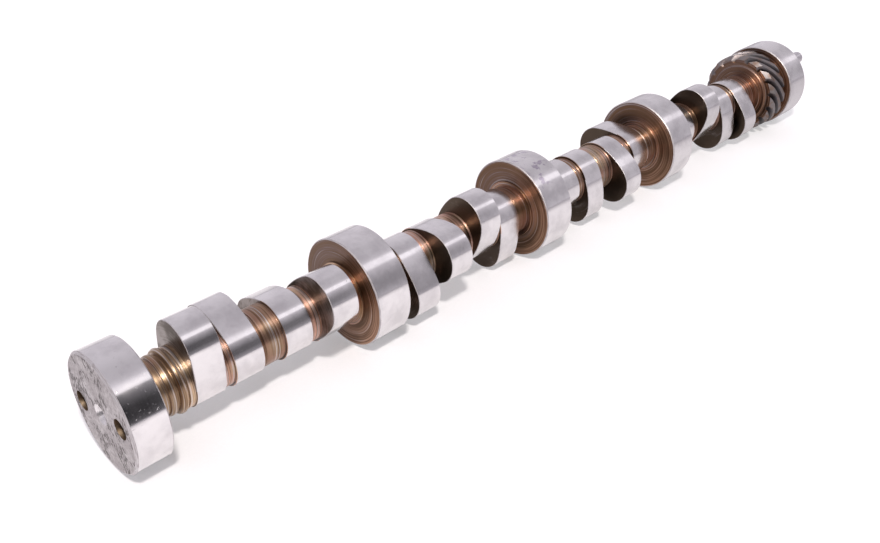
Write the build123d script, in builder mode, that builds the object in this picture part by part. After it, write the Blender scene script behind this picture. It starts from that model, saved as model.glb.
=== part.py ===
from build123d import *

import os
from math import cos, pi, radians, sin, sqrt, tan

# Camshaft of a V-eight engine, lying level. Millimetres and degrees.
# +X runs along the shaft from its rear end face to its front (drive) end, and +Z is up.
# The origin is on the shaft's axis, at the rear end face. An angle about the shaft is
# nought at +Z and grows towards -Y, which is the way a positive turn about +X goes.

# --- Layout along the shaft --------------------------------------------------------------
journal_widths = (15.3, 18.0, 18.8, 19.3, 19.6)  # rear to front
rear_bay = 115.65  # from the middle of one journal to the middle of the next
middle_bay = 111.25
front_bay = 136.7
lobe_width = 13.45
outer_lobe = 24.4  # middle of a lobe from the middle of the nearest journal
inner_lobe = 43.1
rear_bay_behind = (31.25, 49.25)  # the same in the rear bay, from the journal behind
rear_bay_ahead = (42.2, 23.65)  # and from the journal ahead

# --- Journals ----------------------------------------------------------------------------
rear_journal_diameter = 51.346
journal_step = 0.381  # each journal is this much larger across than the one behind it
journal_chamfer = 0.5
rear_face_chamfer = 1.0

# --- Lobes -------------------------------------------------------------------------------
base_radius = 13.8
intake_shape = (12.35, 13.1, 58.0)  # nose centre from the axis, nose radius, flank radius
exhaust_shape = (11.7, 12.9, 38.5)
lobe_chamfer = 0.25
firing_order = (1, 3, 7, 2, 6, 5, 4, 8)
bank_cylinders = 4
bank_angle = 90.0
lobe_separation = 109.0
shaft_turn = 136.5  # how far round the shaft lies: the angle of cylinder 1's intake nose

# --- Necks -------------------------------------------------------------------------------
neck_radius = 12.8
shoulder_radius = 15.2  # low step left where a neck meets a journal or the gear
shoulder_length = 0.8
relief_width = 0.9  # groove turned at the foot of each shoulder
relief_depth = 0.5

# --- Rear neck, with a rounded ring, a groove and a collar beside the first lobe ----------
rear_neck_radius = 12.3
ring_radius = 14.1
ring_width = 4.2
ring_groove_radius = 12.9
collar_slope = 0.5
collar_radius = 13.4
collar_width = 3.1

# --- Gear --------------------------------------------------------------------------------
gear_teeth = 15
gear_radius = 25.3
gear_width = 15.5
gear_front_chamfer = 0.7
gear_rear_chamfer = 2.4  # the rear ends of the teeth are sloped off
tooth_depth = 4.4
tooth_top = 3.4  # width of a tooth across its top, square to the shaft
gap_floor = 1.9
tooth_flank_radius = 10.0
gear_twist = 3.3  # degrees for each millimetre along the shaft
gear_gap_angle = 4.0  # middle of one gap at the gear's rear face
undercut_length = 5.2  # neck between the gear and the front journal
undercut_radius = 19.5

# --- Rear end ----------------------------------------------------------------------------
drive_holes = 2
drive_hole_diameter = 8.7
drive_hole_depth = 11.0
drive_hole_circle = 33.2
drive_hole_angle = 79.0
drill_point_angle = 118.0
centre_diameter = 9.0
centre_angle = 60.0
centre_drill_diameter = 4.0
centre_drill_depth = 12.0

# --- Front end ---------------------------------------------------------------------------
bolt_hole_diameter = 11.1
bolt_hole_depth = 18.0
bolt_hole_mouth = 1.2
pin_diameter = 7.94
pin_seat_diameter = 8.4  # the pressed end is a small step larger than the end that stands out
pin_circle = 38.6
pin_angle = 38.0
pin_seat = 14.0  # length held in the shaft
pin_stand = 12.7  # length that stands out of the front end
pin_rounding = 1.2

# --- Places that follow from the sizes above ----------------------------------------------
journal_middles = [journal_widths[0] / 2]
for bay in (rear_bay, middle_bay, middle_bay, front_bay):
    journal_middles.append(journal_middles[-1] + bay)
front_face = journal_middles[-1] + journal_widths[-1] / 2
front_journal_rear = front_face - journal_widths[-1]
gear_front = front_journal_rear - undercut_length
gear_rear = gear_front - gear_width

lobe_middles = [journal_middles[0] + place for place in rear_bay_behind]
lobe_middles += [journal_middles[1] - place for place in rear_bay_ahead]
for journal in journal_middles[1:-1]:
    for place in (outer_lobe, inner_lobe, middle_bay - inner_lobe, middle_bay - outer_lobe):
        lobe_middles.append(journal + place)
first_lobe_rear = lobe_middles[0] - lobe_width / 2


def across(station, angle=0.0):
    """Plane square to the shaft at a station, with its own x axis at an angle about the shaft."""
    turn = radians(angle)
    return Plane(origin=(station, 0, 0), x_dir=(0, -sin(turn), cos(turn)), z_dir=(1, 0, 0))


def turned(outline):
    """Solid turned about the shaft's axis from (station, radius) points, rear to front."""
    with BuildPart() as solid:
        with BuildSketch(Plane.XY):
            with BuildLine():
                Polyline((outline[0][0], 0), *outline, (outline[-1][0], 0), close=True)
            make_face()
        revolve(axis=Axis.X)
    return solid.part


def climb(face):
    """Outline points from a neck, over its relief groove and shoulder, up to a face ahead."""
    foot = face - shoulder_length
    floor = neck_radius - relief_depth
    groove = [(foot - relief_width, neck_radius), (foot - relief_width / 2, floor), (foot, floor)]
    return groove + [(foot, shoulder_radius), (face, shoulder_radius)]


def descend(face):
    """Outline points of the same step the other way, down from a face to the neck ahead of it."""
    return [(2 * face - station, radius) for station, radius in reversed(climb(face))]


def drum(number):
    """Outline points of a journal's ground surface and its two broken edges."""
    radius = rear_journal_diameter / 2 + number * journal_step / 2
    rear = journal_middles[number] - journal_widths[number] / 2
    front = rear + journal_widths[number]
    rear_break = journal_chamfer if number else rear_face_chamfer
    rear_edge = [(rear, radius - rear_break), (rear + rear_break, radius)]
    return rear_edge + [(front - journal_chamfer, radius), (front, radius - journal_chamfer)]


def shaft_outline():
    """Outline of everything turned, from the front of the ring on the rear neck to the front face."""
    outline = []
    for number in (1, 2, 3):
        surface = drum(number)
        outline += climb(surface[0][0]) + surface + descend(surface[-1][0])
    outline += climb(gear_rear)
    outline += [(gear_rear, undercut_radius), (front_journal_rear, undercut_radius)]
    return outline + drum(4)


def ring_and_collar():
    """The rounded ring on the rear neck, the groove ahead of it and the collar beside the first lobe."""
    collar_rear = first_lobe_rear - collar_width
    ring_front = (collar_rear, ring_groove_radius)
    ring_top = (collar_rear - ring_width / 2, ring_radius)
    ring_rear = (collar_rear - ring_width, rear_neck_radius)
    ThreePointArc(ring_rear, ring_top, ring_front)
    Polyline(ring_front, (collar_rear + collar_slope, collar_radius), (first_lobe_rear, collar_radius))
    return ring_rear


def lobe(middle, nose_angle, shape):
    """Cam lobe whose base circle, nose and flanks meet in tangent arcs, with broken edges."""
    nose_centre, nose_radius, flank = shape
    base_reach = flank - base_radius
    nose_reach = flank - nose_radius
    # centre of the arc of the flank on the +y side, which lies on the -y side
    flank_x = (base_reach**2 - nose_reach**2 + nose_centre**2) / (2 * nose_centre)
    flank_y = -sqrt(base_reach**2 - flank_x**2)
    base_scale = -base_radius / base_reach
    nose_scale = nose_radius / nose_reach
    base_x, base_y = base_scale * flank_x, base_scale * flank_y
    nose_x = nose_centre + nose_scale * (nose_centre - flank_x)
    nose_y = -nose_scale * flank_y
    with BuildPart() as solid:
        with BuildSketch(across(middle - lobe_width / 2, nose_angle)):
            with BuildLine():
                ThreePointArc((base_x, base_y), (-base_radius, 0), (base_x, -base_y))
                RadiusArc((base_x, -base_y), (nose_x, -nose_y), -flank)
                ThreePointArc((nose_x, -nose_y), (nose_centre + nose_radius, 0), (nose_x, nose_y))
                RadiusArc((nose_x, nose_y), (base_x, base_y), -flank)
            make_face()
        extrude(amount=lobe_width)
        ends = solid.edges().group_by(Axis.X)
        chamfer(ends[0] + ends[-1], lobe_chamfer)
    return solid.part


def nose_angle(cylinder, is_intake):
    """Angle about the shaft of the nose of one cylinder's intake or exhaust lobe."""
    firing_turn = 360 / len(firing_order)
    angle = shaft_turn + firing_turn * firing_order.index(cylinder)
    if cylinder > bank_cylinders:
        angle -= bank_angle
    if not is_intake:
        angle -= lobe_separation
    return angle


def gear():
    """Helical gear with broken edges, cut whole with the shaft."""
    spare = 1.0  # the gaps are drawn out past the tooth tops, then trimmed by the blank
    root_radius = gear_radius - tooth_depth
    gap_top = 2 * pi * gear_radius / gear_teeth - tooth_top
    outer_x = gear_radius + spare
    outer_y = gap_top / 2 + spare * (gap_top - gap_floor) / 2 / tooth_depth
    with BuildSketch() as gap:
        with BuildLine():
            Line((root_radius, -gap_floor / 2), (root_radius, gap_floor / 2))
            RadiusArc((root_radius, gap_floor / 2), (outer_x, outer_y), -tooth_flank_radius)
            Polyline((outer_x, outer_y), (outer_x + spare, 0), (outer_x, -outer_y))
            RadiusArc((outer_x, -outer_y), (root_radius, -gap_floor / 2), -tooth_flank_radius)
        make_face()
    with BuildSketch(across(gear_rear, gear_gap_angle)) as section:
        Circle(gear_radius + spare / 2)
        with PolarLocations(0, gear_teeth):
            add(gap.sketch, mode=Mode.SUBTRACT)
    twisted = Solid.extrude_linear_with_rotation(
        section.sketch.faces()[0], (gear_rear, 0, 0), (gear_width, 0, 0), gear_twist * gear_width
    )
    rear_rim, front_rim = gear_radius - gear_rear_chamfer, gear_radius - gear_front_chamfer
    blank = [(gear_rear, rear_rim), (gear_rear + gear_rear_chamfer, gear_radius)]
    blank += [(gear_front - gear_front_chamfer, gear_radius), (gear_front, front_rim)]
    with BuildPart() as solid:
        add(turned(blank))
        add(twisted, mode=Mode.INTERSECT)
    return solid.part


lobes = []
for bay in range(bank_cylinders):
    right = bank_cylinders - bay
    left = right + bank_cylinders
    bay_lobes = ((left, True), (right, False), (left, False), (right, True))
    for middle, (cylinder, is_intake) in zip(lobe_middles[bay * 4 :], bay_lobes):
        shape = intake_shape if is_intake else exhaust_shape
        lobes.append(lobe(middle, nose_angle(cylinder, is_intake), shape))

centre_slope = tan(radians(centre_angle / 2))
centre_cone = (centre_diameter - centre_drill_diameter) / 2 / centre_slope
centre_hole = turned(
    [
        (0, centre_diameter / 2),
        (centre_cone, centre_drill_diameter / 2),
        (centre_drill_depth, centre_drill_diameter / 2),
    ]
)
bolt_mouth_rear = front_face - bolt_hole_mouth
bolt_hole = turned(
    [
        (front_face - bolt_hole_depth, bolt_hole_diameter / 2),
        (bolt_mouth_rear, bolt_hole_diameter / 2),
        (front_face, bolt_hole_diameter / 2 + bolt_hole_mouth),
    ]
)
drill_point = drive_hole_diameter / 2 / tan(radians(drill_point_angle / 2))

# --- Camshaft: turned shaft, lobes and gear in one piece -----------------------------------
with BuildPart() as camshaft:
    with BuildSketch(Plane.XY):
        with BuildLine():
            rear_surface = drum(0)
            neck_start = ring_and_collar()
            Polyline((0, 0), *rear_surface, (rear_surface[-1][0], rear_neck_radius), neck_start)
            neck_front = shaft_outline()
            Polyline(
                (first_lobe_rear, collar_radius),
                (first_lobe_rear, neck_radius),
                *neck_front,
                (front_face, 0),
                (0, 0),
            )
        make_face()
    revolve(axis=Axis.X)
    add(lobes)
    add(gear())
    add(centre_hole, mode=Mode.SUBTRACT)
    add(bolt_hole, mode=Mode.SUBTRACT)
    with BuildSketch(across(0, drive_hole_angle)):
        with PolarLocations(drive_hole_circle / 2, drive_holes):
            Circle(drive_hole_diameter / 2)
    extrude(amount=drive_hole_depth, mode=Mode.SUBTRACT)
    with Locations(across(drive_hole_depth + drill_point / 2, drive_hole_angle)):
        with PolarLocations(drive_hole_circle / 2, drive_holes):
            Cone(drive_hole_diameter / 2, 0, drill_point, mode=Mode.SUBTRACT)
    with BuildSketch(across(front_face, pin_angle)):
        with Locations((pin_circle / 2, 0)):
            Circle(pin_seat_diameter / 2)
    extrude(amount=-pin_seat, mode=Mode.SUBTRACT)

# --- Dowel pin, pressed into the front end -------------------------------------------------
with BuildPart() as dowel_pin:
    with BuildSketch(across(front_face, pin_angle)):
        with Locations((pin_circle / 2, 0)):
            Circle(pin_seat_diameter / 2)
    extrude(amount=-pin_seat)
    with BuildSketch(across(front_face, pin_angle)):
        with Locations((pin_circle / 2, 0)):
            Circle(pin_diameter / 2)
    extrude(amount=pin_stand)
    fillet(dowel_pin.edges().group_by(Axis.X)[-1], pin_rounding)

os.makedirs("parts", exist_ok=True)
camshaft.part.label = "camshaft"
export_step(camshaft.part, "parts/camshaft.step")
dowel_pin.part.label = "dowel_pin"
export_step(dowel_pin.part, "parts/dowel_pin.step")
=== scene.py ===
"""Looks of a ground V-eight camshaft, built round its packed frame.

Metres. +X runs along the shaft from its rear end face to its front end, and +Z is up. An angle
about the shaft is nought at +Z and grows towards -Y.
"""

import random
from math import asin, atan2, copysign, cos, hypot, pi, radians, sin, sqrt, tan

import bpy
from bpy.props import (
    FloatProperty,
    FloatVectorProperty,
    IntProperty,
    IntVectorProperty,
    PointerProperty,
)
from mathutils import Matrix, Vector


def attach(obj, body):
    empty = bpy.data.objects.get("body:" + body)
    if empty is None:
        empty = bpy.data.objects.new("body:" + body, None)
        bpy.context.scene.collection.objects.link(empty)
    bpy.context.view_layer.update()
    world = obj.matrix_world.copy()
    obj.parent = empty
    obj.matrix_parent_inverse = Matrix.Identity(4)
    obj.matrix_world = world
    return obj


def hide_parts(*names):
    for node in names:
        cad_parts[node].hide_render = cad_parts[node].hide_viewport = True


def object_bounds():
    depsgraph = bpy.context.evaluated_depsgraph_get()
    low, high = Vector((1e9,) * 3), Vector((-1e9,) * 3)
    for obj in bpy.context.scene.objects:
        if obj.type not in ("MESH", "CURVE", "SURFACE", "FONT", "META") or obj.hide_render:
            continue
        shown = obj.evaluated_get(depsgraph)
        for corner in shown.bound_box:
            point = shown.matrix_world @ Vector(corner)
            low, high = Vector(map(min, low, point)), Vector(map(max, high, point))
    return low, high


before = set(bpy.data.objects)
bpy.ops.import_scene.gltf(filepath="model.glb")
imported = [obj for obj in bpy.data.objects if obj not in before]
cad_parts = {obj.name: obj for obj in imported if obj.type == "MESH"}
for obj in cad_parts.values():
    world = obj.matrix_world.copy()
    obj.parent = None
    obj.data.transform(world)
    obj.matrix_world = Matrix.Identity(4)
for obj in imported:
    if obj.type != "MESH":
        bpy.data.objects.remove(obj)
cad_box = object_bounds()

bl_info = {
    "name": "Camshaft Workshop",
    "version": (1, 0, 0),
    "blender": (4, 5, 0),
    "location": "3D View > Sidebar > Camshaft",
    "description": "Turns, grinds, cuts and finishes a camshaft round its packed frame",
    "category": "Object",
}

MM = 0.001
MICRON = 1e-6
MERGE = 1e-6
SHARP_EDGE = radians(28)
SHAFT = "ground_camshaft"
LOBES = "cam_lobes"
GEAR = "drive_gear"

BAYS = 4
BAY_LOBES = 4
DRILL_FACETS = 40
GEAR_FACETS = 120
BASE_STEPS, FLANK_STEPS, NOSE_STEPS = 26, 12, 40  # of half a lobe's base, a flank and its nose
TOOTH_STEPS, TWIST_STEPS = 8, 14  # up a tooth's flank, and along a gap
RIDGE_PLACE = (0.3, 0.7)  # where a ridge may fall in its pitch
SHOULDER_BREAK = 0.15 * MM
SINK = 0.4 * MM  # how far the last neck runs into the gear
HUB_SLOPE = 0.4 * MM  # of the low steps on the gear's rear side
GAP_CLEAR = 0.6 * MM  # how far a gap's cutter stands out of the gear
# (station from the rear end face, radius) of the bands on the rear neck, in millimetres.
REAR_BANDS = (
    (15.3, 12.3), (18.6, 12.35), (19.6, 12.45), (21.1, 12.4), (21.45, 11.95), (21.85, 11.95),
    (22.2, 12.55), (22.9, 12.85), (23.9, 12.95), (24.7, 12.8), (25.3, 12.45), (25.6, 11.9),
    (26.0, 11.9), (26.2, 13.2), (26.7, 13.75), (27.4, 14.05), (28.1, 14.0), (28.7, 13.65),
    (29.0, 13.2), (29.15, 12.5), (29.6, 12.5), (29.8, 13.2), (30.1, 13.4), (31.0, 13.35),
)


# --- Sizes and colours that can be changed -------------------------------------------------
def size(name, millimetres, description):
    """A length that can be set."""
    return FloatProperty(
        name=name, default=millimetres * MM, unit="LENGTH", precision=5, description=description
    )


def numbers(name, values, description, **limits):
    """A few numbers that can be set."""
    return FloatVectorProperty(
        name=name, size=len(values), default=values, description=description, **limits
    )


def sizes_of(name, millimetres, description):
    """A row of lengths that can be set."""
    metres = [value * MM for value in millimetres]
    return numbers(name, metres, description, unit="LENGTH", precision=5)


def turn_angle(name, degrees, description):
    """An angle that can be set."""
    return FloatProperty(
        name=name, default=radians(degrees), subtype="ANGLE", description=description
    )


def colour(name, value, description):
    """A colour that can be set."""
    return FloatVectorProperty(
        name=name, subtype="COLOR", size=3, min=0, max=1, default=value, description=description
    )


def share(name, value, description):
    """A number between nought and one that can be set."""
    return FloatProperty(
        name=name, default=value, min=0, max=1, subtype="FACTOR", description=description
    )


def place_at(name, metres, description):
    """A place that can be set."""
    return numbers(name, metres, description, subtype="XYZ", unit="LENGTH")


class ShaftSizes(bpy.types.PropertyGroup):
    """Journals and necks, as turned."""

    journal_widths: sizes_of(
        "Journal widths", (15.3, 18.0, 18.8, 19.3, 19.6), "Widths, rear to front"
    )
    bays: sizes_of("Bays", (115.65, 111.25, 111.25, 136.7), "Between the middles of journals")
    rear_journal_diameter: size("Rear journal", 51.346, "Diameter of the rear journal")
    journal_step: size("Journal step", 0.381, "Growth in diameter from one journal to the next")
    journal_chamfer: size("Journal chamfer", 0.5, "Broken edge of a journal")
    rear_face_chamfer: size("Rear chamfer", 1.0, "Broken edge of the rear end face")
    neck_radius: size("Neck radius", 12.8, "Radius of the necks")
    shoulder_radius: size("Shoulder radius", 15.2, "Low step where a neck meets a journal")
    shoulder_length: size("Shoulder length", 0.8, "Length of that step")
    relief_width: size("Relief width", 0.9, "Groove at the foot of the step")
    relief_depth: size("Relief depth", 0.5, "Depth of that groove")
    undercut_length: size("Undercut length", 5.2, "Neck between the gear and the front journal")
    undercut_radius: size("Undercut radius", 19.5, "Radius of that neck")
    ridge_pitch: size("Ridge pitch", 1.15, "Usual distance between turning ridges")
    ridge_height: size("Ridge height", 0.035, "Usual height of a turning ridge on a neck")
    ring_height: size("Ring height", 0.05, "Usual height of a ring on the side of a journal")
    line_place: sizes_of("Tool lines", (0.7, 1.55), "Two thin grooves beside each lobe")
    line_depth: size("Tool line depth", 0.14, "Depth of those grooves")
    line_width: size("Tool line width", 0.34, "Width of those grooves")
    steps: IntProperty(name="Steps round", default=144, min=24, description="Facets in a turn")
    seed: IntProperty(name="Ridge seed", default=7, description="Draws the uneven ridges")


class LobeSizes(bpy.types.PropertyGroup):
    """Cam lobes, as ground."""

    width: size("Lobe width", 13.45, "Width of every lobe")
    outer_place: size("Outer lobe", 24.4, "Middle of a lobe from the nearest journal")
    inner_place: size("Inner lobe", 43.1, "Middle of the next lobe from the same journal")
    rear_bay_behind: sizes_of("Rear bay, behind", (31.25, 49.25), "From the rear journal")
    rear_bay_ahead: sizes_of("Rear bay, ahead", (42.2, 23.65), "Back from the next journal")
    base_radius: size("Base radius", 13.8, "Radius of the base circle")
    intake: sizes_of("Intake lobe", (12.35, 13.1, 58.0), "Nose centre, nose and flank radius")
    exhaust: sizes_of("Exhaust lobe", (11.7, 12.9, 38.5), "Nose centre, nose and flank radius")
    chamfer: size("Lobe chamfer", 0.25, "Broken edge of a lobe")
    firing_order: IntVectorProperty(
        name="Firing order", size=8, default=(1, 3, 7, 2, 6, 5, 4, 8), description="Cylinders"
    )
    bank_angle: turn_angle("Bank angle", 90.0, "Between the two banks of cylinders")
    separation: turn_angle("Lobe separation", 109.0, "Between a cylinder's two lobes")
    shaft_turn: turn_angle("Shaft turn", 136.5, "Angle of the first cylinder's intake nose")


class GearSizes(bpy.types.PropertyGroup):
    """Helical drive gear, cut with the shaft."""

    teeth: IntProperty(name="Teeth", default=15, min=6, description="Number of teeth")
    radius: size("Gear radius", 25.3, "Outside radius")
    width: size("Gear width", 15.5, "Width of the gear")
    rear_chamfer: size("Rear slope", 2.4, "Slope at the rear ends of the teeth")
    chamfer: size("Gear chamfer", 0.7, "Broken front edge of the blank")
    tooth_depth: size("Tooth depth", 4.4, "Depth of the gaps")
    tooth_top: size("Tooth top", 3.4, "Width of a tooth across its top")
    gap_floor: size("Gap floor", 1.9, "Width of a gap at its floor")
    flank_radius: size("Flank radius", 10.0, "Radius of a tooth's flank")
    gap_angle: turn_angle("Gap angle", 4.0, "Middle of one gap at the gear's rear face")
    twist: turn_angle("Twist", 3.3, "Turn of the teeth for each millimetre of length")
    hub_radius: size("Hub radius", 18.6, "Radius of the low hub ring on the near side")
    hub_height: size("Hub height", 0.3, "How far the side is sunk round that ring")


class EndSizes(bpy.types.PropertyGroup):
    """What is drilled in the two ends."""

    drive_hole_diameter: size("Drive holes", 8.7, "Diameter of the two drive holes")
    drive_hole_depth: size("Drive hole depth", 11.0, "Depth before the drill point")
    drive_hole_circle: size("Drive hole circle", 33.2, "Circle of the drive holes")
    drive_hole_angle: turn_angle("Drive hole angle", 79.0, "Angle of the first drive hole")
    drill_point: turn_angle("Drill point", 118.0, "Angle of a drill's point")
    centre_diameter: size("Centre mouth", 9.0, "Mouth of the rear centre hole")
    centre_angle: turn_angle("Centre angle", 60.0, "Angle of its cone")
    centre_drill: size("Centre drill", 4.0, "Diameter of its drilled part")
    centre_depth: size("Centre depth", 12.0, "Depth of its drilled part")
    bolt_hole_diameter: size("Bolt hole", 11.1, "Bore for the sprocket's bolt")
    bolt_hole_depth: size("Bolt hole depth", 18.0, "Depth of that bore")
    bolt_hole_mouth: size("Bolt hole mouth", 1.2, "Countersink of that bore")
    pin_seat_diameter: size("Pin seat", 8.4, "Hole that holds the dowel pin")
    pin_seat_depth: size("Pin seat depth", 14.0, "Depth of that hole")
    pin_circle: size("Pin circle", 38.6, "Circle of the dowel pin")
    pin_angle: turn_angle("Pin angle", 38.0, "Angle of the dowel pin")


class Finishes(bpy.types.PropertyGroup):
    """Colours and gloss of the metal."""

    ground: colour("Ground steel", (0.80, 0.775, 0.785), "Journals and lobes")
    ground_dull: colour("Handled steel", (0.62, 0.595, 0.61), "Smudges on ground steel")
    copper: colour("Copper flash", (0.61, 0.365, 0.285), "Necks")
    gold: colour("Thin flash", (0.60, 0.435, 0.29), "Where the flash is thin")
    # Dark brown: in the feet of the turning lines it is partly painted shade; in the broad bands and the
    # bores' oil it is the metal's own colour.
    umber: colour("Dark flash and groove shade", (0.14, 0.08, 0.045), "Foot of the turning lines")
    # Painted shade and painted light: a journal's or the gear's side goes from the first colour on top
    # and towards +Y to the second low down towards -Y.
    side_painted_shade: colour("Sides, painted shade", (0.17, 0.112, 0.095), "Painted shade on sides of journals")
    side_painted_light: colour("Sides, painted light", (0.47, 0.275, 0.185), "Painted light on those sides")
    lobe_side: colour("Lobe side", (0.27, 0.235, 0.22), "Sides of the lobes")
    lobe_side_dark: colour("Lobe side, dark", (0.085, 0.063, 0.047), "Darker patches of them")
    end_face: colour("End face", (0.42, 0.385, 0.395), "Sawn and faced rear end")
    end_face_pit: colour("End face pits", (0.10, 0.085, 0.085), "Pits in the end face")
    gear: colour("Gear steel", (0.17, 0.16, 0.17), "Hobbed gaps of the gear")
    gear_land: colour("Tooth ends", (0.26, 0.235, 0.235), "Tops and sloped ends of the teeth")
    gear_brown: colour("Gear, stained", (0.22, 0.12, 0.07), "Flash left in the gaps")
    bore: colour("Bores", (0.30, 0.23, 0.165), "Walls of the drilled holes")
    stain: colour("Stain", (0.40, 0.34, 0.44), "Tarnish on one journal")
    pin: colour("Pin steel", (0.66, 0.63, 0.66), "Dowel pin")
    ground_roughness: share("Ground roughness", 0.12, "Roughness of ground steel")
    copper_roughness: share("Flash roughness", 0.38, "Roughness of the copper flash")


class StudioSettings(bpy.types.PropertyGroup):
    """Floor, light and camera."""

    floor_colour: colour("Floor", (0.64, 0.626, 0.648), "Pale floor")
    floor_glow: numbers(
        "Floor glow", (0.245, 0.73), "Whitens the floor, near the key light and far from it", min=0
    )
    glow_reach: sizes_of("Glow reach", (450.0, 1200.0), "Where near and far are")
    glow_in_metal: numbers(
        "Glow in metal", (0.23, 0.06), "The same as the metal mirrors it, at its rear and front", min=0
    )
    sky: colour("Studio", (0.72, 0.685, 0.738), "Soft light from all round")
    strip: colour("Strip", (0.50, 0.49, 0.50), "Long strip light, over the studio's own")
    key_colour: colour("Key colour", (1.0, 0.96, 0.90), "Colour of the key light")
    key_power: FloatProperty(name="Key", default=32.0, min=0, description="Power of the key light")
    key_radius: size("Key radius", 45.0, "Radius of the key light")
    key_place: place_at("Key place", (-0.156, -0.44, 0.78), "Where the key light hangs")
    camera_place: place_at("Camera", (-0.0897, -0.2794, 0.2311), "Where the camera stands")
    camera_aim: numbers("Aim", (0.6101, 0.6129, -0.5021), "The way it looks")
    camera_lens: FloatProperty(name="Lens", default=37.67, description="Focal length, 36 mm frame")
    camera_shift: numbers("Shift", (-0.0228, -0.0473), "Shift of the frame")


SETTINGS = {
    "camshaft_shaft": ShaftSizes,
    "camshaft_lobes": LobeSizes,
    "camshaft_gear": GearSizes,
    "camshaft_ends": EndSizes,
    "camshaft_finishes": Finishes,
    "camshaft_studio": StudioSettings,
}


# --- Places that follow from the sizes ------------------------------------------------------
def journal_spans(context):
    """(rear, front, radius) of each journal, rear to front."""
    shaft = context.scene.camshaft_shaft
    middle = shaft.journal_widths[0] / 2
    spans = []
    for number, width in enumerate(shaft.journal_widths):
        if number:
            middle += shaft.bays[number - 1]
        radius = (shaft.rear_journal_diameter + number * shaft.journal_step) / 2
        spans.append((middle - width / 2, middle + width / 2, radius))
    return spans


def gear_span(context):
    """(rear, front) of the gear."""
    gear, shaft = context.scene.camshaft_gear, context.scene.camshaft_shaft
    front = journal_spans(context)[-1][0] - shaft.undercut_length
    return front - gear.width, front


def lobe_middles(context):
    """Middles of the lobes, four for each bay, rear to front."""
    lobes = context.scene.camshaft_lobes
    middles = [(rear + front) / 2 for rear, front, _ in journal_spans(context)]
    places = [middles[0] + place for place in lobes.rear_bay_behind]
    places += [middles[1] - place for place in lobes.rear_bay_ahead]
    pitch = context.scene.camshaft_shaft.bays[1]
    offsets = (lobes.outer_place, lobes.inner_place)
    for middle in middles[1:-1]:
        places += [middle + offset for offset in offsets]
        places += [middle + pitch - offset for offset in reversed(offsets)]
    return places


def lobe_spans(context):
    """(rear, front) of each lobe."""
    half = context.scene.camshaft_lobes.width / 2
    return [(middle - half, middle + half) for middle in lobe_middles(context)]


def around(radius, angle):
    """(y, z) of a point at a radius and an angle about the shaft."""
    return -radius * sin(angle), radius * cos(angle)


# --- Hand tools -----------------------------------------------------------------------------
def only(*pieces):
    """Leaves just these objects selected, the first of them active."""
    bpy.ops.object.select_all(action="DESELECT")
    for piece in pieces:
        piece.select_set(True)
    bpy.context.view_layer.objects.active = pieces[0]


def start_outline(name, place):
    """A new mesh of one point, left in edit mode with the point selected."""
    bpy.ops.object.select_all(action="DESELECT")
    bpy.ops.mesh.primitive_plane_add(size=MM, location=place)
    piece = bpy.context.object
    piece.name = name
    bpy.ops.object.transform_apply(location=True, rotation=False, scale=False)
    bpy.ops.object.mode_set(mode="EDIT")
    bpy.ops.mesh.select_mode(type="VERT")
    bpy.ops.mesh.select_all(action="SELECT")
    bpy.ops.mesh.merge(type="CENTER")
    return piece


def line_by(*step):
    """Carries the outline on by a straight step."""
    bpy.ops.mesh.extrude_vertices_move(TRANSFORM_OT_translate={"value": step})


def bend_by(centre, sweep, steps):
    """Carries the outline on by an arc about a centre, right-handed about +X where sweep is positive."""
    axis = (-copysign(1, sweep), 0, 0)
    bpy.ops.mesh.spin(steps=steps, angle=abs(sweep), center=centre, axis=axis)


def fill_outline():
    """Closes the outline, merges its doubles and fills it."""
    bpy.ops.mesh.select_all(action="SELECT")
    bpy.ops.mesh.remove_doubles(threshold=MERGE)
    bpy.ops.mesh.edge_face_add()


def close_shell():
    """Merges doubles, points the faces outwards and leaves edit mode."""
    bpy.ops.mesh.select_all(action="SELECT")
    bpy.ops.mesh.remove_doubles(threshold=MERGE)
    bpy.ops.mesh.normals_make_consistent(inside=False)
    bpy.ops.object.mode_set(mode="OBJECT")


def turn_solid(name, outline, steps, across=(0.0, 0.0)):
    """A solid turned from (station, radius) points about a line along X through (y, z)."""
    y, z = across
    piece = start_outline(name, (outline[0][0], y, z + outline[0][1]))
    for here, there in zip(outline, outline[1:]):
        line_by(there[0] - here[0], 0, there[1] - here[1])
    bpy.ops.mesh.select_all(action="SELECT")
    bpy.ops.mesh.spin(steps=steps, angle=2 * pi, center=(0, y, z), axis=(1, 0, 0))
    close_shell()
    return piece


def pick_edges(piece, wanted):
    """Selects, in edit mode, the edges whose two end points pass a test."""
    only(piece)
    bpy.ops.object.mode_set(mode="EDIT")
    bpy.ops.mesh.select_mode(type="EDGE")
    bpy.ops.mesh.select_all(action="DESELECT")
    bpy.ops.object.mode_set(mode="OBJECT")
    points = piece.data.vertices
    for edge in piece.data.edges:
        edge.select = wanted(points[edge.vertices[0]].co, points[edge.vertices[1]].co)
    bpy.ops.object.mode_set(mode="EDIT")


def combine(piece, tool, operation):
    """Joins a tool to a piece or cuts it out of the piece, and throws the tool away."""
    change = piece.modifiers.new("Combine", "BOOLEAN")
    change.operation, change.solver, change.object = operation, "MANIFOLD", tool
    only(piece)
    bpy.ops.object.modifier_apply(modifier=change.name)
    bpy.data.objects.remove(tool)
    if not piece.data.polygons:
        raise RuntimeError(f"nothing is left of {piece.name}")


def copy_turned(piece, angle, station=0.0):
    """A copy with its own mesh, turned about the shaft and moved along it."""
    twin = piece.copy()
    twin.data = piece.data.copy()
    bpy.context.scene.collection.objects.link(twin)
    twin.data.transform(Matrix.Translation((station, 0, 0)) @ Matrix.Rotation(angle, 4, "X"))
    return twin


def join_all(name, pieces):
    """Several pieces made one object."""
    only(*pieces)
    bpy.ops.object.join()
    joined = bpy.context.object
    joined.name = name
    return joined


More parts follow.
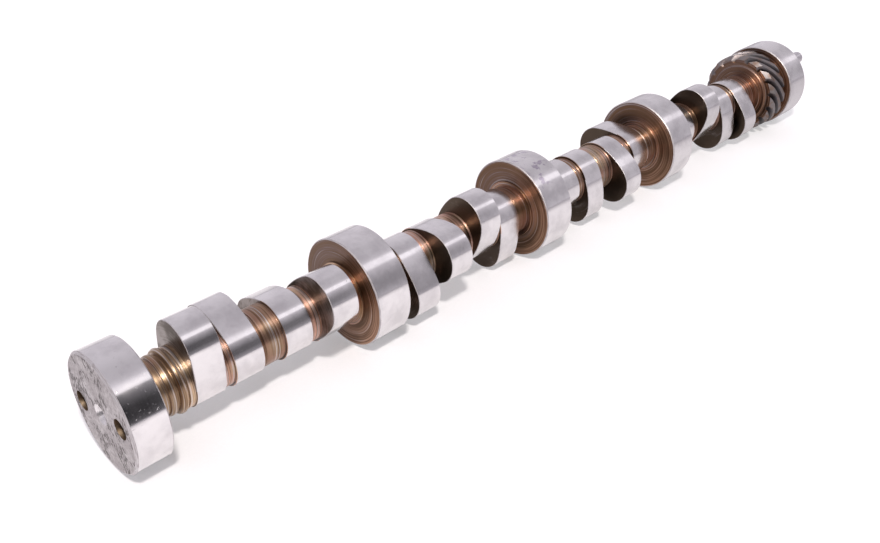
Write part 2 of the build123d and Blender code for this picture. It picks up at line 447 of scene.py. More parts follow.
# --- Turning --------------------------------------------------------------------------------
def ridges(start, end, radius, shaft, draws):
    """Outline points along a neck, with the small uneven ridges that turning leaves."""
    count = max(1, round((end - start) / shaft.ridge_pitch))
    pitch = (end - start) / count
    return [
        (
            start + pitch * (number + draws.uniform(*RIDGE_PLACE)),
            radius + shaft.ridge_height * draws.uniform(-1, 1),
        )
        for number in range(count)
    ]


def rings(face, inner, outer, inwards, shaft, draws):
    """Outline points up the side of a journal or gear, with the rings that facing leaves."""
    count = max(1, round((outer - inner) / shaft.ridge_pitch))
    pitch = (outer - inner) / count
    return [
        (
            face + inwards * shaft.ring_height * draws.uniform(0, 1),
            inner + pitch * (number + draws.uniform(*RIDGE_PLACE)),
        )
        for number in range(count)
    ]


def tool_line(station, radius, shaft):
    """Outline points of one thin groove round a neck."""
    half = shaft.line_width / 2
    return [
        (station - half, radius),
        (station, radius - shaft.line_depth),
        (station + half, radius),
    ]


def shoulder(face, shaft):
    """Outline points from a neck over its relief groove and low step, up to a face ahead."""
    foot = face - shaft.shoulder_length
    floor = shaft.neck_radius - shaft.relief_depth
    return [
        (foot - shaft.relief_width, shaft.neck_radius),
        (foot - shaft.relief_width / 2, floor),
        (foot, floor),
        (foot, shaft.shoulder_radius - SHOULDER_BREAK),
        (foot + SHOULDER_BREAK, shaft.shoulder_radius),
        (face, shaft.shoulder_radius),
    ]


def mirrored(points, face):
    """Outline points laid out the other way, on the far side of a face."""
    return [(2 * face - station, radius) for station, radius in reversed(points)]


def neck(start, end, at_start, at_end, shaft, draws):
    """Outline points of a neck between two things, each 'lobe' or 'step'."""
    used = shaft.shoulder_length + shaft.relief_width
    points = []
    clear_start, clear_end = start + used, end - used
    if at_start == "lobe":
        for place in shaft.line_place:
            points += tool_line(start + place, shaft.neck_radius, shaft)
        clear_start = start + shaft.line_place[1] + shaft.line_width
    if at_end == "lobe":
        clear_end = end - shaft.line_place[0] - shaft.line_width
    points += ridges(clear_start, clear_end, shaft.neck_radius, shaft, draws)
    if at_end == "lobe":
        points += tool_line(end - shaft.line_place[0], shaft.neck_radius, shaft)
    return points


def rear_neck(start, collar_front):
    """Outline points of the banded neck between the rear journal and the first lobe."""
    inside = 0.5 * MM
    first = REAR_BANDS[0][0] * MM
    points = [(start + station * MM - first, radius * MM) for station, radius in REAR_BANDS]
    return points + [(collar_front + inside, REAR_BANDS[-1][1] * MM)]


def journal(number, span, shaft, draws, behind, ahead):
    """Outline points of a journal: its rear side, ground surface and front side."""
    rear, front, radius = span
    rear_break = shaft.journal_chamfer if number else shaft.rear_face_chamfer
    points = []
    if behind:
        points += rings(rear, behind, radius - rear_break, 1, shaft, draws)
    points += [(rear, radius - rear_break), (rear + rear_break, radius)]
    points += [(front - shaft.journal_chamfer, radius), (front, radius - shaft.journal_chamfer)]
    if ahead:
        side = rings(front, ahead, radius - shaft.journal_chamfer, -1, shaft, draws)
        points += reversed(side)
    return points


def shaft_outline(context):
    """The whole turned outline, from the floor of the rear centre hole to that of the bolt hole."""
    shaft, ends = context.scene.camshaft_shaft, context.scene.camshaft_ends
    draws = random.Random(shaft.seed)
    journals, lobes = journal_spans(context), lobe_spans(context)
    gear_rear, _ = gear_span(context)
    small, mouth = ends.centre_drill / 2, ends.centre_diameter / 2
    cone = (mouth - small) / tan(ends.centre_angle / 2)
    points = [(ends.centre_depth, 0), (ends.centre_depth, small), (cone, small), (0, mouth)]
    step = shaft.shoulder_radius
    points += journal(0, journals[0], shaft, draws, 0, REAR_BANDS[0][1] * MM)
    points += rear_neck(journals[0][1], lobes[0][0])
    for bay in range(BAYS):
        own = lobes[bay * BAY_LOBES : (bay + 1) * BAY_LOBES]
        last = bay == BAYS - 1
        start, end = journals[bay][1], gear_rear if last else journals[bay + 1][0]
        if bay:
            points += mirrored(shoulder(start, shaft), start)
            points += neck(start, own[0][0], "step", "lobe", shaft, draws)
        for (_, front), (rear, _) in zip(own, own[1:]):
            points += [(front - shaft.relief_width, shaft.neck_radius)]
            points += neck(front, rear, "lobe", "lobe", shaft, draws)
        points += [(own[-1][1] - shaft.relief_width, shaft.neck_radius)]
        points += neck(own[-1][1], end, "lobe", "step", shaft, draws)
        points += shoulder(end, shaft)
        if not last:
            points += journal(bay + 1, journals[bay + 1], shaft, draws, step, step)
    core = shaft.undercut_radius
    points += [(gear_rear + SINK, step), (gear_rear + SINK, core)]
    front_journal = journals[-1]
    points += ridges(front_journal[0] - shaft.undercut_length, front_journal[0], core, shaft, draws)
    points += [(front_journal[0], core)]
    points += journal(BAYS, front_journal, shaft, draws, core, 0)
    face, bore = front_journal[1], ends.bolt_hole_diameter / 2
    points += [(face, bore + ends.bolt_hole_mouth), (face - ends.bolt_hole_mouth, bore)]
    points += [(face - ends.bolt_hole_depth, bore), (face - ends.bolt_hole_depth, 0)]
    return points


class CAMSHAFT_OT_turn_shaft(bpy.types.Operator):
    """Turn the shaft with its journals and necks, and drill its ends"""

    bl_idname = "camshaft.turn_shaft"
    bl_label = "Turn Shaft"

    def execute(self, context):
        shaft, ends = context.scene.camshaft_shaft, context.scene.camshaft_ends
        piece = turn_solid(SHAFT, shaft_outline(context), shaft.steps)
        clear = MM
        radius = ends.drive_hole_diameter / 2
        tip = ends.drive_hole_depth + radius / tan(ends.drill_point / 2)
        drill = [(-clear, 0), (-clear, radius), (ends.drive_hole_depth, radius), (tip, 0)]
        face = journal_spans(context)[-1][1]
        radius = ends.pin_seat_diameter / 2
        back = face - ends.pin_seat_depth
        reamer = [(back, 0), (back, radius), (face + clear, radius), (face + clear, 0)]
        holes = (
            (drill, ends.drive_hole_circle, ends.drive_hole_angle),
            (drill, ends.drive_hole_circle, ends.drive_hole_angle + pi),
            (reamer, ends.pin_circle, ends.pin_angle),
        )
        for outline, circle, angle in holes:
            tool = turn_solid("drill", outline, DRILL_FACETS, around(circle / 2, angle))
            combine(piece, tool, "DIFFERENCE")
        return {"FINISHED"}


# --- Lobes ----------------------------------------------------------------------------------
def lobe_blank(name, shape, lobes):
    """A lobe with its nose up and its middle at the origin, its base, flanks and nose tangent."""
    reach, nose, flank = shape
    base, half = lobes.base_radius, lobes.width / 2
    base_reach, nose_reach = flank - base, flank - nose
    rise = (base_reach**2 - nose_reach**2 + reach**2) / (2 * reach)
    aside = sqrt(base_reach**2 - rise**2)
    low, high = atan2(-rise, aside), atan2(reach - rise, aside)
    piece = start_outline(name, (-half, 0, -base))
    bend_by((-half, 0, 0), pi / 2 + low, BASE_STEPS)
    bend_by((-half, -aside, rise), high - low, FLANK_STEPS)
    bend_by((-half, 0, reach), pi - 2 * high, NOSE_STEPS)
    bend_by((-half, aside, rise), high - low, FLANK_STEPS)
    bend_by((-half, 0, 0), pi / 2 + low, BASE_STEPS)
    fill_outline()
    bpy.ops.mesh.extrude_region_move(TRANSFORM_OT_translate={"value": (2 * half, 0, 0)})
    close_shell()
    pick_edges(piece, lambda here, there: abs(here.x - there.x) < MERGE)
    bpy.ops.mesh.bevel(offset=lobes.chamfer, offset_type="OFFSET", segments=1, affect="EDGES")
    bpy.ops.object.mode_set(mode="OBJECT")
    return piece


def nose_angle(cylinder, is_intake, lobes):
    """Angle about the shaft of one cylinder's intake or exhaust nose."""
    order = list(lobes.firing_order)
    angle = lobes.shaft_turn + 2 * pi / len(order) * order.index(cylinder)
    if cylinder > len(order) // 2:
        angle -= lobes.bank_angle
    if not is_intake:
        angle -= lobes.separation
    return angle


class CAMSHAFT_OT_grind_lobes(bpy.types.Operator):
    """Grind the sixteen cam lobes at their angles"""

    bl_idname = "camshaft.grind_lobes"
    bl_label = "Grind Lobes"

    def execute(self, context):
        lobes = context.scene.camshaft_lobes
        blanks = {
            True: lobe_blank("intake_lobe", lobes.intake, lobes),
            False: lobe_blank("exhaust_lobe", lobes.exhaust, lobes),
        }
        middles = lobe_middles(context)
        made = []
        for bay in range(BAYS):
            right, left = BAYS - bay, 2 * BAYS - bay
            row = ((left, True), (right, False), (left, False), (right, True))
            for middle, (cylinder, is_intake) in zip(middles[bay * BAY_LOBES :], row):
                angle = nose_angle(cylinder, is_intake, lobes)
                made.append(copy_turned(blanks[is_intake], angle, middle))
        for blank in blanks.values():
            bpy.data.objects.remove(blank)
        join_all(LOBES, made)
        return {"FINISHED"}


# --- Gear -----------------------------------------------------------------------------------
def gap_cutter(start, length, gear):
    """A solid of the shape of one gap between teeth, at angle nought, twisted along the shaft."""
    spare = MM
    root = gear.radius - gear.tooth_depth
    top = 2 * pi * gear.radius / gear.teeth - gear.tooth_top
    high = gear.radius + spare
    wide = top / 2 + spare * (top - gear.gap_floor) / 2 / gear.tooth_depth
    floor = gear.gap_floor / 2
    chord = Vector((wide - floor, high - root))
    off = sqrt(gear.flank_radius**2 - (chord.length / 2) ** 2)
    middle = Vector((wide + floor, high + root)) / 2
    centre = middle + off * Vector((chord.y, -chord.x)) / chord.length
    sweep = 2 * asin(chord.length / 2 / gear.flank_radius)
    piece = start_outline("gap_cutter", (start, -floor, root))
    line_by(0, 2 * floor, 0)
    bend_by((start, centre.x, centre.y), -sweep, TOOTH_STEPS)
    line_by(0, -wide, spare)
    line_by(0, -wide, -spare)
    bend_by((start, -centre.x, centre.y), -sweep, TOOTH_STEPS)
    fill_outline()
    step = length / TWIST_STEPS
    turn = -gear.twist * step / MM
    for _ in range(TWIST_STEPS):
        bpy.ops.mesh.extrude_region_move(TRANSFORM_OT_translate={"value": (step, 0, 0)})
        bpy.ops.transform.rotate(value=turn, orient_axis="X", center_override=(0, 0, 0))
    close_shell()
    return piece


class CAMSHAFT_OT_cut_gear(bpy.types.Operator):
    """Turn the gear's blank and cut its helical gaps"""

    bl_idname = "camshaft.cut_gear"
    bl_label = "Cut Gear"

    def execute(self, context):
        gear, shaft = context.scene.camshaft_gear, context.scene.camshaft_shaft
        rear, front = gear_span(context)
        draws = random.Random(shaft.seed + 1)
        rim, sunk = gear.radius - gear.rear_chamfer, gear.hub_height
        foot, hub = shaft.shoulder_radius + HUB_SLOPE, gear.hub_radius
        outline = [(rear, 0), (rear, foot)] + rings(rear, foot, hub, 1, shaft, draws)
        outline += [(rear, hub), (rear + sunk, hub + HUB_SLOPE)]
        outline += rings(rear + sunk, hub + HUB_SLOPE, rim - HUB_SLOPE, 1, shaft, draws)
        outline += [(rear + sunk / 2, rim), (rear + gear.rear_chamfer, gear.radius)]
        outline += [(front - gear.chamfer, gear.radius)]
        outline += [(front, gear.radius - gear.chamfer), (front, 0)]
        blank = turn_solid(GEAR, outline, GEAR_FACETS)
        cutter = gap_cutter(rear - GAP_CLEAR, front - rear + 2 * GAP_CLEAR, gear)
        first = gear.gap_angle - gear.twist * GAP_CLEAR / MM
        pitch = 2 * pi / gear.teeth
        gaps = [copy_turned(cutter, first + number * pitch) for number in range(gear.teeth)]
        bpy.data.objects.remove(cutter)
        combine(blank, join_all("gaps", gaps), "DIFFERENCE")
        return {"FINISHED"}


# --- Nodes ----------------------------------------------------------------------------------
NOISE_SPAN = (0.3, 0.7)  # where nearly all the values of a noise lie


class Nodes:
    """A node tree under construction."""

    def __init__(self, tree):
        self.tree = tree

    def add(self, kind, settings=None, **sockets):
        """Adds a node, with its settings and its sockets' values or links."""
        made = self.tree.nodes.new(kind)
        for key, value in (settings or {}).items():
            setattr(made, key, value)
        for key, value in sockets.items():
            self.feed(made.inputs[key.replace("_", " ")], value)
        return made

    def feed(self, socket, value):
        """Links an output to a socket, or sets the socket's value."""
        if isinstance(value, bpy.types.NodeSocket):
            self.tree.links.new(value, socket)
        elif socket.type == "RGBA":
            socket.default_value = (*value, 1.0)
        else:
            socket.default_value = value

    def math(self, operation, *values):
        """The result of a sum on one to three numbers."""
        made = self.add("ShaderNodeMath", {"operation": operation})
        for socket, value in zip(made.inputs, values):
            self.feed(socket, value)
        return made.outputs[0]

    def plus(self, first, second):
        """Two numbers added."""
        return self.math("ADD", first, second)

    def times(self, first, second):
        """Two numbers multiplied."""
        return self.math("MULTIPLY", first, second)

    def times_plus(self, value, factor, added):
        """A number multiplied by a second, with a third added."""
        return self.math("MULTIPLY_ADD", value, factor, added)

    def ranged(self, value, low, high, out_low=0.0, out_high=1.0, way="LINEAR"):
        """A value taken from one range to another and held at its ends."""
        made = self.add("ShaderNodeMapRange", {"interpolation_type": way}, Value=value)
        ends = {"From Min": low, "From Max": high, "To Min": out_low, "To Max": out_high}
        for name, end in ends.items():
            self.feed(made.inputs[name], end)
        return made.outputs[0]

    def between(self, value, low, high, out_low=0.0, out_high=1.0):
        """The same with soft ends."""
        return self.ranged(value, low, high, out_low, out_high, "SMOOTHSTEP")

    def spread(self, noise, low, high):
        """A noise made to run from one value to another."""
        return self.between(noise, *NOISE_SPAN, low, high)

    def ramp(self, value, stops):
        """A level read off a curve of (value, level) stops."""
        low, high = stops[0][0], stops[-1][0]
        made = self.add("ShaderNodeValToRGB", Fac=self.ranged(value, low, high))
        elements = made.color_ramp.elements
        while len(elements) > 1:
            elements.remove(elements[-1])
        for place, level in stops:
            share_of_way = (place - low) / (high - low)
            element = elements.new(share_of_way) if place > low else elements[0]
            element.position = share_of_way
            element.color = (level, level, level, 1)
        return made.outputs["Color"]

    def mix(self, share_of_second, first, second, kind="RGBA"):
        """A colour between two others, or a number where the kind is FLOAT."""
        made = self.add("ShaderNodeMix", {"data_type": kind}, Factor=share_of_second)
        held = "VALUE" if kind == "FLOAT" else kind
        ways_in = [each for each in made.inputs if each.name in ("A", "B") and each.type == held]
        for socket, value in zip(ways_in, (first, second)):
            self.feed(socket, value)
        return [each for each in made.outputs if each.type == held][0]

    def vector(self, operation, first, **sockets):
        """A vector node whose first vector is fed."""
        return self.add("ShaderNodeVectorMath", {"operation": operation}, Vector=first, **sockets)


class Paint(Nodes):
    """A material under construction, with its shader and the object's coordinates."""

    def __init__(self, name):
        self.material = bpy.data.materials.new(name)
        self.material.use_nodes = True
        super().__init__(self.material.node_tree)
        self.shader = self.tree.nodes["Principled BSDF"]
        self.place = self.add("ShaderNodeTexCoord").outputs["Object"]
        self.x, self.y, self.z = self.add("ShaderNodeSeparateXYZ", Vector=self.place).outputs
        across = self.add("ShaderNodeCombineXYZ", Y=self.y, Z=self.z).outputs[0]
        self.radius = self.vector("LENGTH", across).outputs["Value"]

    def noise(self, vector, scale, detail, roughness, seed):
        """Cloudy noise from about nought to one."""
        shifted = self.vector("ADD", vector)
        shifted.inputs[1].default_value = (seed, seed * 1.7, seed * 2.3)
        made = self.add(
            "ShaderNodeTexNoise", Vector=shifted.outputs[0], Scale=scale, Detail=detail,
            Roughness=roughness,
        )
        return made.outputs["Fac"]

    def clouds(self, scale, detail=2.0, roughness=0.5, seed=0.0):
        """Noise as coarse one way as another, so many clouds to the metre."""
        return self.noise(self.place, scale, detail, roughness, seed)

    def lines(self, across, around, detail=2.0, roughness=0.5, seed=0.0, along=None):
        """Noise drawn out into lines round the shaft, so many to the metre across and around.

        They are laid along station plus radius, which grows along a neck and up a side alike,
        unless told otherwise.
        """
        drawn_out = self.add(
            "ShaderNodeCombineXYZ",
            X=self.times(along or self.plus(self.x, self.radius), across),
            Y=self.times(self.y, around),
            Z=self.times(self.z, around),
        )
        return self.noise(drawn_out.outputs[0], 1.0, detail, roughness, seed)

    def bump(self, height, depth):
        """A relief of a real depth, in metres."""
        made = self.add("ShaderNodeBump", Height=height, Strength=1.0, Distance=depth)
        return made.outputs["Normal"]

    def brushed_round(self, amount):
        """Spreads the gloss across lines that run round the shaft."""
        self.shader.inputs["Anisotropic"].default_value = amount
        tangent = self.vector("CROSS_PRODUCT", self.add("ShaderNodeNewGeometry").outputs["Normal"])
        circle = self.add("ShaderNodeCombineXYZ", Y=self.times(self.z, -1.0), Z=self.y)
        self.feed(tangent.inputs[1], circle.outputs[0])
        even = self.vector("NORMALIZE", tangent.outputs[0])
        self.feed(self.shader.inputs["Tangent"], even.outputs[0])

    def finish(self, base, roughness, normal=None, metallic=1.0):
        """Feeds the shader."""
        self.feed(self.shader.inputs["Base Color"], base)
        self.feed(self.shader.inputs["Roughness"], roughness)
        self.shader.inputs["Metallic"].default_value = metallic
        if normal:
            self.feed(self.shader.inputs["Normal"], normal)
        return self.material

    def worked(self, grain, colours, share_of_second, gloss, depth):
        """Finishes worked steel: two colours, and one grain in its gloss and relief."""
        base = self.mix(share_of_second, *colours)
        return self.finish(base, self.spread(grain, *gloss), self.bump(grain, depth))


# --- Materials ------------------------------------------------------------------------------
STAIN_REAR = (224 * MM, 229 * MM)  # where the stain on the centre journal fades in
STAIN_FRONT = (246 * MM, 238 * MM)  # and out again
STAIN_HEIGHT = (15 * MM, 22 * MM)
NICKED = (15.6 * MM, 14 * MM)  # the rear journal has the nicks
NICK_DEPTH = -42.0  # against the height of a ground line
SPECK_DEPTH = -2.0
GILDED = (31 * MM, 50 * MM)  # where the flash on the necks thickens, going forwards
DARKENED = (60 * MM, 200 * MM)  # where the lobes' sides darken, going forwards
GAP_STAIN = (22.6 * MM, 20.8 * MM)  # where the stain in the gear's gaps fades in, going inwards
PAINTED_LIGHT_WAY = (-0.985, -0.17)  # (y, z) of the way the journals' sides are painted lighter: painted light towards it, painted shade away from it


def ground_steel(finishes):
    """Bright ground steel: fine lines round the shaft, soft clouds, smudges and small specks."""
    paint = Paint("Ground Steel")
    lines = paint.lines(5200, 55, 3, 0.6, along=paint.x)
    smudge, smear = paint.clouds(85, 3, 0.55, 3.1), paint.clouds(260, 4, 0.6, 9.4)
    handled = paint.between(paint.times_plus(smear, 0.35, smudge), 0.52, 0.86)
    base = paint.mix(paint.times(handled, 0.7), finishes.ground, finishes.ground_dull)

    speck = paint.between(paint.clouds(1500, 1, 0.4, 5.7), 0.76, 0.82)
    specks = paint.times(speck, paint.between(paint.clouds(70, 1, 0.5, 12.9), 0.5, 0.62))
    base = paint.mix(paint.times(specks, 0.8), base, finishes.end_face_pit)

    marks = paint.between(paint.clouds(210, 4, 0.62, 4.6), 0.54, 0.60)
    here = paint.times(paint.between(paint.x, *STAIN_REAR), paint.between(paint.x, *STAIN_FRONT))
    here = paint.times(here, paint.between(paint.z, *STAIN_HEIGHT, 0.0, 0.7))
    base = paint.mix(paint.times(marks, here), base, finishes.stain)

    rough = paint.times_plus(handled, 0.05, finishes.ground_roughness)
    rough = paint.times_plus(paint.plus(lines, -0.5), 0.08, rough)
    nick = paint.between(paint.clouds(700, 3, 0.6, 7.9), 0.645, 0.71)
    relief = paint.times_plus(specks, SPECK_DEPTH, lines)
    relief = paint.times_plus(nick, paint.between(paint.x, *NICKED, 0.0, NICK_DEPTH), relief)
    paint.brushed_round(0.75)
    return paint.finish(base, rough, paint.bump(relief, 0.4 * MICRON))


def copper_flash(finishes):
    """Turned steel under a thin copper flash, gold where thin, and brown in the feet of the lines, which
    is partly darker flash and partly painted shade in the grooves.
    """
    paint = Paint("Copper Flash")
    fine, broad = paint.lines(2000, 30, 3, 0.65), paint.lines(900, 18, seed=4.2)
    thin = paint.plus(paint.clouds(70, 3, 0.55, 8.8), paint.between(paint.x, *GILDED, 0.12, -0.06))
    base = paint.mix(paint.between(thin, 0.38, 0.62), finishes.copper, finishes.gold)
    # Partly painted shade: the feet of the lines, where the bump sinks, go dark brown.
    foot = paint.between(paint.times_plus(broad, 0.6, fine), 0.86, 0.62)
    base = paint.mix(paint.times(foot, 0.85), base, finishes.umber)
    tempered = paint.lines(30, 6, seed=1.4, along=paint.x)
    base = paint.mix(paint.between(tempered, 0.48, 0.66, 0.0, 0.55), base, finishes.umber)
    bare = paint.lines(1500, 24, 2, 0.55, 9.2)
    base = paint.mix(paint.between(bare, 0.54, 0.66, 0.0, 0.45), base, finishes.ground)
    rough = paint.plus(finishes.copper_roughness, paint.spread(broad, -0.08, 0.08))
    paint.brushed_round(0.6)
    relief = paint.times_plus(broad, 1.5, fine)
    return paint.finish(base, rough, paint.bump(relief, 22 * MICRON))


def side_flash(finishes):
    """Sides of the journals and gear: flash with fine rings, painted darker on top and towards +Y as
    painted shade, and lighter low down towards -Y as painted light.
    """
    paint = Paint("Side Flash")
    fine, broad = paint.lines(1250, 16, 3, 0.65, 2.7), paint.lines(600, 12, seed=6.2)
    # Painted light and shade: how far a point faces -Y and a little down, with some random cloud, sets
    # the share of the lighter colour.
    low = paint.times_plus(paint.z, PAINTED_LIGHT_WAY[1], paint.times(paint.y, PAINTED_LIGHT_WAY[0]))
    low = paint.math("DIVIDE", low, paint.radius)
    low = paint.times_plus(paint.plus(paint.clouds(80, 3, 0.6, 3.9), -0.5), 1.1, low)
    base = paint.mix(paint.between(low, -0.35, 0.8), finishes.side_painted_shade, finishes.side_painted_light)
    # Partly painted shade: the feet of the rings, where the bump sinks, go dark brown; partly painted
    # highlight: their crests go lighter grey.
    foot = paint.between(paint.times_plus(broad, 0.4, fine), 0.80, 0.60)
    base = paint.mix(paint.times(foot, 0.85), base, finishes.umber)
    base = paint.mix(paint.between(fine, 0.56, 0.66, 0.0, 0.4), base, finishes.ground_dull)
    paint.brushed_round(0.6)
    relief = paint.times_plus(broad, 1.5, fine)
    return paint.finish(base, paint.spread(broad, 0.34, 0.46), paint.bump(relief, 12 * MICRON))


def lobe_side(finishes):
    """Sides of the lobes: dark turned steel with faint rings, darker towards the front."""
    paint = Paint("Lobe Side")
    fine, patch = paint.lines(1700, 26, 3, 0.6, 2.2), paint.clouds(95, 3, 0.55, 6.3)
    dark = paint.times_plus(fine, 0.5, patch)
    dark = paint.plus(dark, paint.between(paint.x, *DARKENED, 0.0, 0.26))
    base = paint.mix(paint.between(dark, 0.62, 0.92), finishes.lobe_side, finishes.lobe_side_dark)
    paint.brushed_round(0.5)
    return paint.finish(base, paint.spread(patch, 0.28, 0.38), paint.bump(fine, 9 * MICRON))


def end_face(finishes):
    """Rear end: dull grey, with clouds of small dark pits that run in streaks."""
    paint = Paint("End Face")
    streaked = paint.add(
        "ShaderNodeMapping", {"vector_type": "POINT"}, Vector=paint.place,
        Rotation=(radians(35), 0, 0), Scale=(1, 1, 0.4),
    )
    pits = paint.noise(streaked.outputs[0], 900, 4, 0.62, 2.6)
    level = paint.between(paint.clouds(120, seed=7.5), 0.40, 0.60, 0.66, 0.47)
    pitted = paint.between(pits, level, paint.plus(level, 0.05))
    cloud, grain = paint.clouds(130, 3, 0.6, 1.3), paint.clouds(700, 4, 0.7, 3.8)
    base = paint.mix(paint.between(cloud, 0.35, 0.7, 0.0, 0.4), finishes.end_face, finishes.ground)
    base = paint.mix(paint.between(grain, 0.35, 0.75, 0.0, 0.4), base, finishes.end_face_pit)
    base = paint.mix(paint.times(pitted, 0.9), base, finishes.end_face_pit)
    relief = paint.times_plus(pitted, -1.5, grain)
    return paint.finish(base, paint.spread(grain, 0.42, 0.6), paint.bump(relief, 25 * MICRON))


def gear_steel(finishes):
    """Hobbed gaps of the gear: dark smooth steel, stained brown low down."""
    paint = Paint("Gear Steel")
    patch = paint.between(paint.clouds(160, 3, 0.6, 1.9), 0.4, 0.65)
    stain = paint.times(patch, paint.between(paint.radius, *GAP_STAIN, 0.2, 1.0))
    colours = finishes.gear, finishes.gear_brown
    return paint.worked(paint.clouds(500, seed=4.4), colours, stain, (0.34, 0.44), 6 * MICRON)


def tooth_end(finishes):
    """Tops and sloped ends of the teeth: grey turned steel, a little stained."""
    paint = Paint("Tooth End")
    stain = paint.between(paint.clouds(220, 3, 0.6, 8.3), 0.45, 0.7, 0, 0.7)
    colours = finishes.gear_land, finishes.gear_brown
    return paint.worked(paint.lines(2400, 60, seed=2.9), colours, stain, (0.44, 0.56), 5 * MICRON)


def bore_steel(finishes):
    """Walls of the drilled holes: brown, with the drill's rings."""
    paint = Paint("Bore Steel")
    rings_of_drill = paint.lines(2200, 120, seed=5.1, along=paint.x)
    oil = paint.between(paint.clouds(300, seed=2.8), 0.4, 0.62, 0, 0.45)
    return paint.worked(rings_of_drill, (finishes.bore, finishes.umber), oil, (0.4, 0.6), 20 * MICRON)


def centre_steel(finishes):
    """Bright cone of the centre hole, scored by the lathe's centre."""
    paint = Paint("Centre Steel")
    scores = paint.lines(2500, 200, 3, 0.6, 6.1)
    worn = paint.between(scores, 0.4, 0.7, 0, 0.6)
    colours = finishes.ground, finishes.end_face
    return paint.worked(scores, colours, worn, (0.2, 0.38), 12 * MICRON)


def faced_steel(finishes):
    """Front end: plain turned face with fine rings."""
    paint = Paint("Faced Steel")
    cloud = paint.between(paint.clouds(90, seed=8.1), 0.4, 0.7, 0.1, 0.6)
    fine = paint.lines(3200, 24, 3, 0.6, 3.3, along=paint.radius)
    paint.brushed_round(0.5)
    colours = finishes.ground, finishes.ground_dull
    return paint.worked(fine, colours, cloud, (0.26, 0.36), 8 * MICRON)


def broken_edge(finishes):
    """Filed edges of the journals and lobes: dull and a little rough."""
    paint = Paint("Broken Edge")
    scratch = paint.lines(3000, 300, seed=1.1)
    colours = finishes.ground_dull, finishes.end_face
    worn = paint.between(scratch, 0.4, 0.7)
    return paint.worked(scratch, colours, worn, (0.52, 0.62), 4 * MICRON)


def pin_steel(finishes):
    """Dowel pin: ground satin steel, lightly scuffed."""
    paint = Paint("Pin Steel")
    scuff = paint.between(paint.clouds(420, 3, 0.6, 2.4), 0.45, 0.7, 0, 0.7)
    lines = paint.lines(4000, 300, seed=7.7, along=paint.x)
    return paint.worked(lines, (finishes.pin, finishes.ground_dull), scuff, (0.24, 0.36), 3 * MICRON)


# --- Finishing ------------------------------------------------------------------------------
ZONES = (
    copper_flash, ground_steel, lobe_side, end_face, gear_steel, bore_steel, centre_steel,
    faced_steel, side_flash, tooth_end, broken_edge,
)
SQUARE = 0.9  # a side's normal has at least this much of the shaft's direction
LEVEL = 0.3  # and a ground surface's has less than this
TOOTH_TOP = 0.6  # the normal of a tooth's top has more than this pointing outwards


def within(station, spans, spare):
    """Tells whether a station lies in one of several spans, or not farther off than a spare."""
    return any(span[0] - spare < station < span[1] + spare for span in spans)


def zone_finder(context):
    """A test that names the finish of a face from its place and normal."""
    ends, gear = context.scene.camshaft_ends, context.scene.camshaft_gear
    shaft = context.scene.camshaft_shaft
    journals, lobes = journal_spans(context), lobe_spans(context)
    rear_gear, front_gear = gear_span(context)
    base = context.scene.camshaft_lobes.base_radius
    root, front = gear.radius - gear.tooth_depth, journals[-1][1]
    inside_rear = journals[0][1] - shaft.journal_chamfer
    inside_front = front - ends.bolt_hole_depth
    rim = journals[0][2] - shaft.rear_face_chamfer
    near, clear = 0.05 * MM, MM
    step = shaft.shoulder_length + near
    drilled = rim - clear  # every hole lies within this radius

    def ground(normal):
        return ground_steel if abs(normal.x) < LEVEL else broken_edge

    def find(centre, normal):
        station, radius = centre.x, hypot(centre.y, centre.z)
        side = abs(normal.x) > SQUARE
        if station < near and side:
            return end_face
        if station < inside_rear and radius < ends.centre_diameter / 2 + near:
            return centre_steel
        if near < station < inside_rear and radius < drilled:
            return bore_steel
        if station > front - near and side:
            return faced_steel
        if station > inside_front - near and radius < drilled:
            return bore_steel
        if radius > rim and within(station, journals, near):
            return side_flash if side else ground(normal)
        if rear_gear - near < station < front_gear + near and radius > root - near:
            outward = (centre.y * normal.y + centre.z * normal.z) / radius
            if radius > gear.radius - gear.rear_chamfer - near and outward > TOOTH_TOP:
                return tooth_end
            return side_flash if side else gear_steel
        if rear_gear - step < station < rear_gear + clear:
            return side_flash
        if radius > base and within(station, journals, step):
            return side_flash
        if radius > base - near and within(station, lobes, near):
            return lobe_side if side else ground(normal)
        if side and any(min(abs(station - low), abs(station - high)) < near for low, high in lobes):
            return lobe_side
        return copper_flash

    return find


class CAMSHAFT_OT_finish_shaft(bpy.types.Operator):
    """Make the shaft, lobes and gear one piece and give each surface its finish"""

    bl_idname = "camshaft.finish_shaft"
    bl_label = "Finish Shaft"

    def execute(self, context):
        shaft, lobes, gear = (bpy.data.objects[name] for name in (SHAFT, LOBES, GEAR))
        combine(shaft, join_all(LOBES, [lobes, gear]), "UNION")
        only(shaft)
        bpy.ops.object.shade_smooth_by_angle(angle=SHARP_EDGE)
        finishes = context.scene.camshaft_finishes
        shaft.data.materials.clear()
        for zone in ZONES:
            shaft.data.materials.append(zone(finishes))
        find = zone_finder(context)
        for face in shaft.data.polygons:
            zone = find(face.center, face.normal)
            face.material_index = ZONES.index(zone)
            if zone is tooth_end:
                face.use_smooth = False
        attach(shaft, "root")
        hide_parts("camshaft")
        return {"FINISHED"}


class CAMSHAFT_OT_finish_pin(bpy.types.Operator):
    """Give the dowel pin its finish"""

    bl_idname = "camshaft.finish_pin"
    bl_label = "Finish Dowel Pin"

    def execute(self, context):
        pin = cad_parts["dowel_pin"]
        steel = pin_steel(context.scene.camshaft_finishes)
        for slot in pin.material_slots:
            slot.material = steel
        return {"FINISHED"}


# --- Stage ----------------------------------------------------------------------------------
# Levels of the studio's light by its tilt, in degrees from straight up towards -Y.
SOFT_LIGHT = (
    (-180, 0.98), (-92, 1.08), (-70, 1.03), (-50, 0.97), (-30, 0.91), (-12, 0.79), (8, 0.82),
    (18, 1.0), (37, 1.0), (90, 0.93), (180, 0.9),
)
STRIP_LIGHT = ((0, 0), (17, 0), (22, 1), (32, 1), (35.5, 0), (60, 0))
